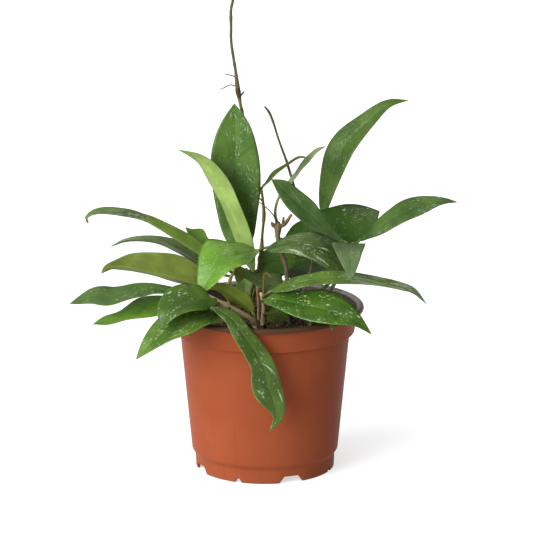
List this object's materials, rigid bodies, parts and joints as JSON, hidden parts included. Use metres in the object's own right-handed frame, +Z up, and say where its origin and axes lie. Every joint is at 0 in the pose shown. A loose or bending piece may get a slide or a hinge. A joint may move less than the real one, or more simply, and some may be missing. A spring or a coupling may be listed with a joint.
{
  "type": "potted hoya plant",
  "caption": "Trailing house plant with long pointed waxy leaves, thin bare stems and one tall twining shoot, rooted in soil in a tapered nursery pot with a rolled rim.",
  "frame": {"origin": "on the pot's axis, level with the underside of its foot", "axes": "+Z up, +Y from the pictured front to the back, +X to the viewer's right"},
  "size_m": [0.3003, 0.1773, 0.3851],
  "materials": {
    "pot_terracotta": "satin",
    "soil_dark": "matte",
    "stem_bark": "matte",
    "leaf_green": "satin",
    "leaf_bright": "satin",
    "leaf_pale": "satin",
    "leaf_olive": "satin",
    "leaf_grey": "satin"
  },
  "bodies": {
    "root": {"pot": "pot_terracotta", "soil": "soil_dark", "vine_long": "stem_bark", "stem_dark": "stem_bark", "stem_bare": "stem_bark", "stem_stout": "stem_bark", "stem_right_back": "stem_bark", "stem_right": "stem_bark", "stem_front": "stem_bark", "stem_left": "stem_bark", "stem_crown": "stem_bark", "stem_hooked": "stem_bark", "stem_red": "stem_bark", "leaf_left_arched": "leaf_green", "leaf_left_folded": "leaf_green", "leaf_left_long": "leaf_green", "leaf_left_blunt": "leaf_green", "leaf_speckled": "leaf_green", "leaf_left_drooping": "leaf_green", "leaf_tall_back": "leaf_green", "leaf_small_back": "leaf_green", "leaf_thin_top": "leaf_green", "leaf_tall_right": "leaf_green", "leaf_upper_front": "leaf_green", "leaf_middle_back": "leaf_green", "leaf_far_right": "leaf_green", "leaf_domed": "leaf_green", "leaf_long_right": "leaf_green", "leaf_over_rim": "leaf_green", "leaf_rear": "leaf_green", "leaf_front_hanging": "leaf_green", "leaf_shaded": "leaf_green", "leaf_inner_dark": "leaf_green", "leaf_inside_pot": "leaf_green", "leaf_rim_tip": "leaf_green", "leaf_bright_bent": "leaf_bright", "leaf_young": "leaf_bright", "leaf_shoot": "leaf_bright", "leaf_pale_upright": "leaf_pale", "leaf_left_olive": "leaf_olive", "leaf_crown_olive": "leaf_olive", "leaf_slim_grey": "leaf_grey", "leaf_hanging_grey": "leaf_grey"}
  },
  "joints": []
}
